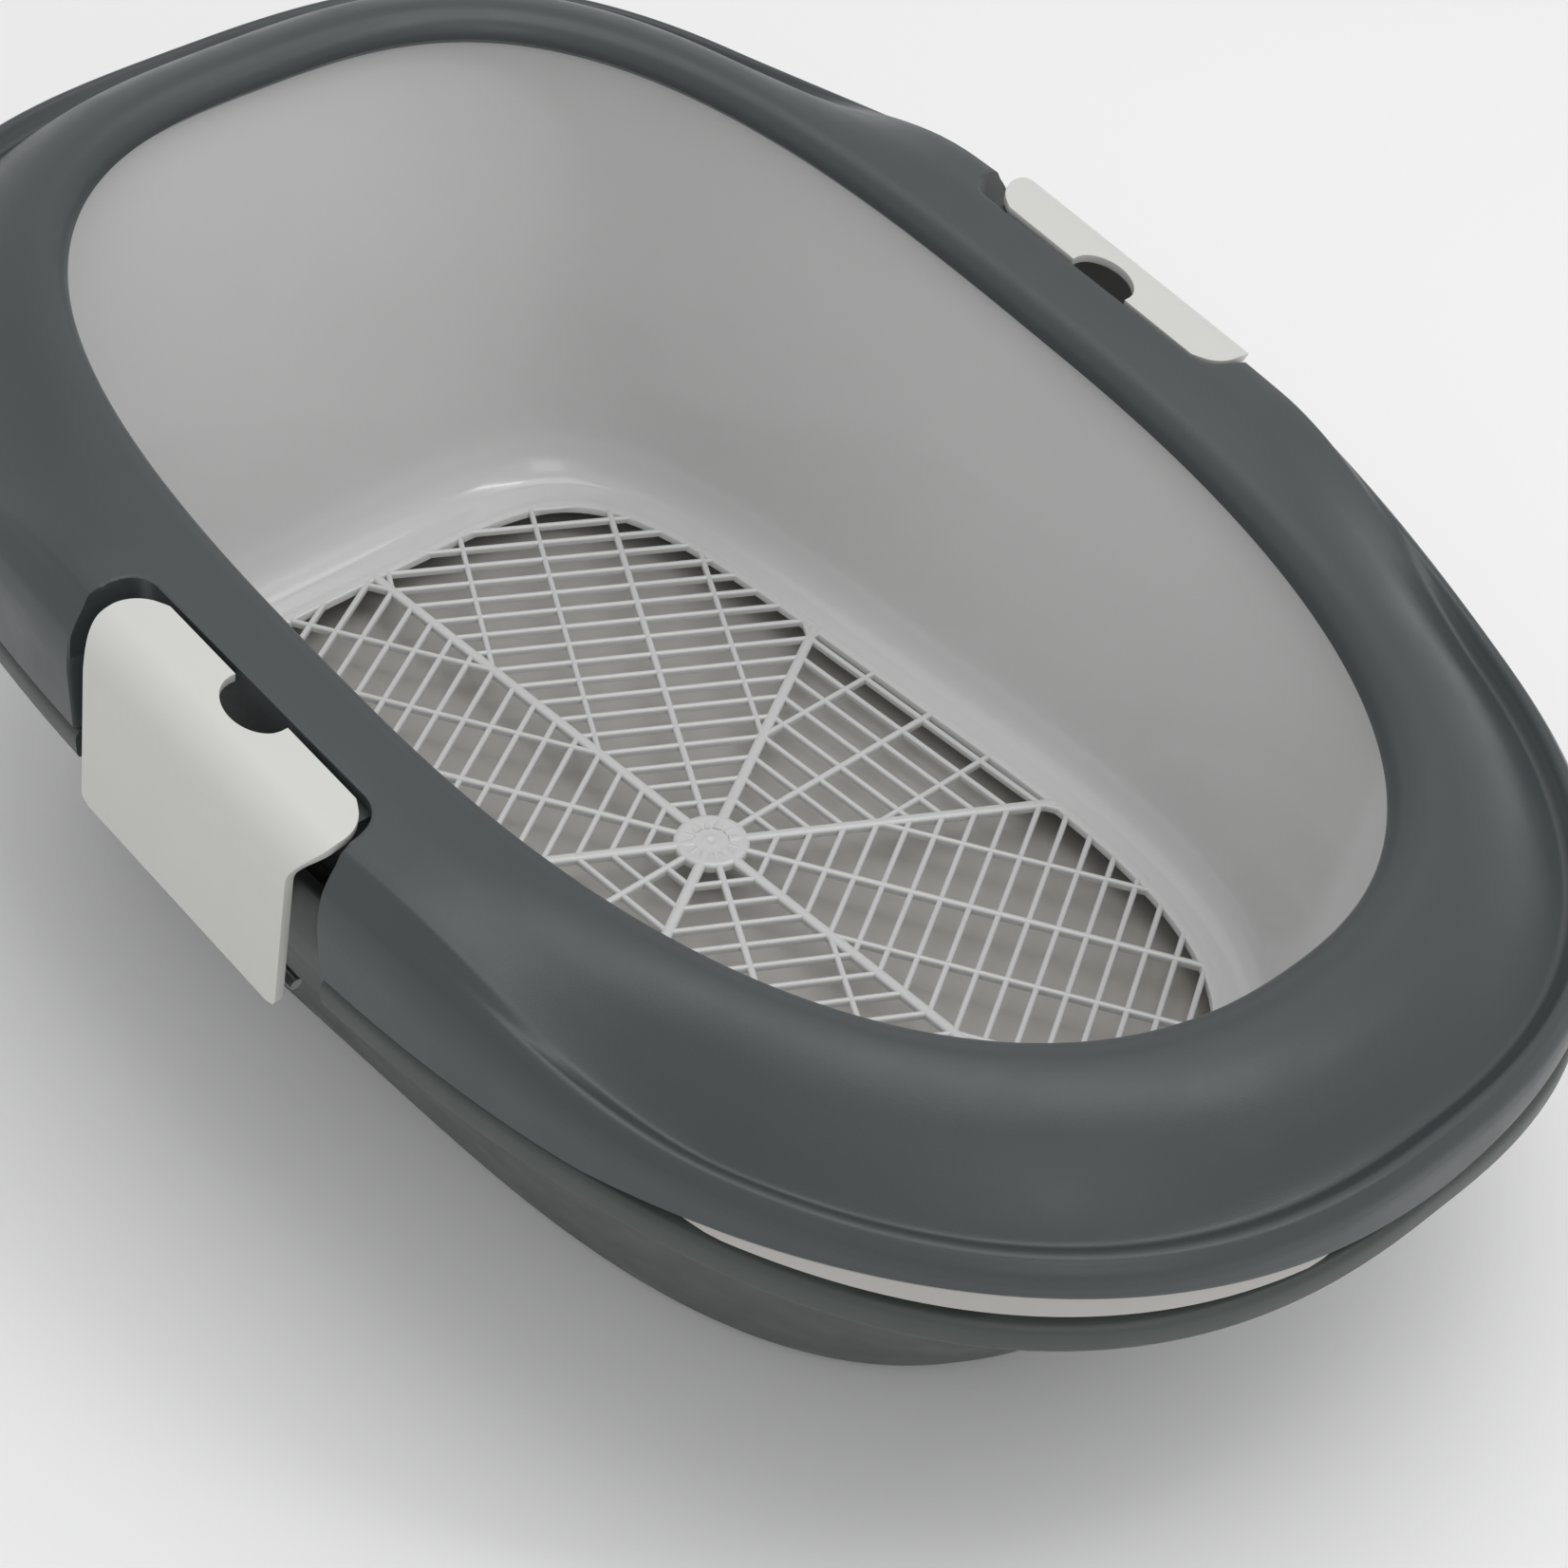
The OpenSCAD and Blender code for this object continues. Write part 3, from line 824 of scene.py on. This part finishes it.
finish_piece(make_rim(), slate, "rim", "slate_plastic", "rim")
finish_piece(make_base(), slate_low, "base", "slate_plastic", "base_tray")
finish_piece(make_litter(), grey_shaded_litter, "litter", "grey_plastic", "litter_tray")
finish_piece(make_sieve(), grey, "sieve", "grey_plastic", "sieve_tray")
web, web_edge = make_web()
finish_piece(web, grey, "sieve", "grey_plastic", "sieve_grid")
finish_piece(web_edge, grey, "sieve", "grey_plastic")
for side, word in ((1, "left"), (-1, "right")):
    clip_body = f"clip_{word}"
    finish_piece(make_clip(side, f"clip_{word}_plate"), cream, clip_body, "cream_plastic", clip_body)
    finish_piece(make_barrels(side, f"clip_{word}_barrels"), cream, clip_body, "cream_plastic")
    finish_piece(make_lug(side, f"hinge_lug_{word}"), slate_low, "base", "slate_plastic")
    finish_piece(make_ledge(side, f"rim_ledge_{word}"), slate, "rim", "slate_plastic")
    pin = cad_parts[f"hinge_pin_{word}"]
    pin.data.materials.clear()
    pin.data.materials.append(pin_steel)


# ---- Stage, light and camera ----
def make_floor():
    half = 6.0
    corners = [(-half, -half, 0), (half, -half, 0), (half, half, 0), (-half, half, 0)]
    mesh = bpy.data.meshes.new("floor")
    mesh.from_pydata(corners, [], [(0, 1, 2, 3)])
    floor = bpy.data.objects.new("floor", mesh)
    bpy.context.scene.collection.objects.link(floor)
    mat = bpy.data.materials.new("floor_paint")
    mat.use_nodes = True
    shader = mat.node_tree.nodes["Principled BSDF"]
    shader.inputs["Base Color"].default_value = (0.86, 0.86, 0.86, 1)
    shader.inputs["Roughness"].default_value = 0.7
    mesh.materials.append(mat)


def soft_light(name, place, aim, size, watts, size_y=None):
    data = bpy.data.lights.new(name, "AREA")
    data.energy = watts
    data.size = size
    if size_y:
        data.shape = "RECTANGLE"
        data.size_y = size_y
    lamp = bpy.data.objects.new(name, data)
    lamp.location = place
    lamp.rotation_euler = (Vector(aim) - Vector(place)).to_track_quat("-Z", "Y").to_euler()
    bpy.context.scene.collection.objects.link(lamp)


def make_light():
    world = bpy.data.worlds.new("studio")
    bpy.context.scene.world = world
    world.use_nodes = True
    world.node_tree.nodes["Background"].inputs["Color"].default_value = (1.0, 1.0, 1.0, 1)
    world.node_tree.nodes["Background"].inputs["Strength"].default_value = 0.72
    soft_light("top", (0.1, 0.3, 2.2), (0, 0, 0), 1.6, 13)
    soft_light("front", (2.0, -0.9, 1.6), (0.1, 0, 0.1), 1.2, 6)
    soft_light("strip", (0.9, 0.6, 1.5), (-0.1, 0, 0.1), 0.12, 3, 0.9)


def place_camera(location, target, roll_degrees, lens):
    data = bpy.data.cameras.new("camera")
    data.lens = lens
    data.sensor_width = 36.0
    camera = bpy.data.objects.new("camera", data)
    look = (Vector(target) - Vector(location)).to_track_quat("-Z", "Y")
    roll = Matrix.Rotation(math.radians(roll_degrees), 3, "Z")
    camera.matrix_world = Matrix.Translation(Vector(location)) @ (look.to_matrix() @ roll).to_4x4()
    bpy.context.scene.collection.objects.link(camera)
    bpy.context.scene.camera = camera


make_floor()
make_light()
place_camera((0.5848, -0.5706, 0.7907), (-0.0050, 0.0379, 0.034), 4.40, 76.27)
bpy.context.scene.view_settings.view_transform = "Standard"
